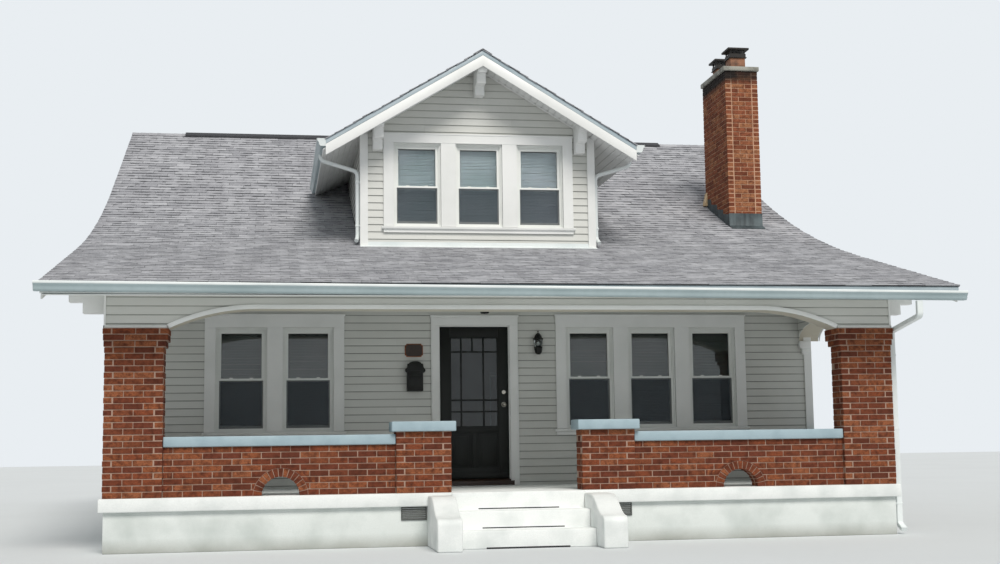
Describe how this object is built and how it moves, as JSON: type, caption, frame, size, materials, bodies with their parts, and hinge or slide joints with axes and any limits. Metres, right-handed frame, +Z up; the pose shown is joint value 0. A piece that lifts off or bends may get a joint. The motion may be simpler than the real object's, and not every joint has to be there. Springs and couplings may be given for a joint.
{
  "type": "bungalow",
  "caption": "Side-gabled bungalow with a full-width brick porch under a bell-cast roof, a gabled front dormer, a brick chimney and an entrance door that opens.",
  "frame": {"origin": "on the ground under the middle of the house's bounding box", "axes": "+X to the right seen from the street, +Y to the rear, +Z up; the porch faces -Y"},
  "size_m": [10.6306, 16.375, 7.3],
  "materials": {
    "foundation_paint": "painted masonry",
    "white_paint": "painted concrete",
    "brick": "brick with pale mortar",
    "coping_paint": "painted stone",
    "siding": "painted lap siding",
    "trim_paint": "satin paint",
    "floor_boards": "varnished boards",
    "door_paint": "gloss paint",
    "glass": "window glass",
    "nickel": "satin nickel",
    "shingles": "mineral shingles",
    "dark_shingles": "mineral shingles",
    "white_metal": "enamelled aluminium",
    "concrete": "weathered concrete",
    "clay": "fired clay",
    "dark_metal": "weathered metal",
    "black_metal": "satin black"
  },
  "bodies": {
    "house": {"foundation": "foundation_paint", "porch_base": "foundation_paint", "porch_slab": "white_paint", "front_steps": "white_paint", "step_cheeks": "white_paint", "corner_piers": "brick", "entry_piers": "brick", "porch_front_walls": "brick", "porch_side_walls": "brick", "copings": "coping_paint", "porch_front_beam": "siding", "porch_side_beams": "siding", "arch_trims": "trim_paint", "beam_capitals": "trim_paint", "porch_ceiling": "trim_paint", "house_floor": "floor_boards", "attic_floor": "floor_boards", "front_wall_left": "siding", "front_wall_right": "siding", "front_wall_over_door": "siding", "left_wall": "siding", "right_wall": "siding", "rear_wall": "siding", "front_windows": "trim_paint", "side_windows": "trim_paint", "rear_windows": "trim_paint", "dormer_windows": "trim_paint", "window_glass": "glass", "door_frame": "trim_paint", "main_roof": "shingles", "ridge_vent": "dark_shingles", "rake_boards": "trim_paint", "eave_brackets": "trim_paint", "dormer_walls": "siding", "dormer_roof": "shingles", "gutters": "white_metal", "downspouts": "white_metal", "chimney_stack": "brick", "chimney_cap": "concrete", "chimney_flues": "clay", "flue_caps": "dark_metal", "wall_lantern": "dark_metal", "porch_light": "dark_metal", "mailbox": "black_metal", "number_plaque": "dark_metal"},
    "door": {"front_door": "door_paint", "door_glass": "glass", "door_knob": "nickel"}
  },
  "joints": [
    {"name": "front_door_hinge", "type": "hinge", "parent": "house", "child": "door", "pos_m": [-0.624, -4.8545, 1.69], "axis": [0, 0, 1], "range_deg": [0, 90]}
  ]
}
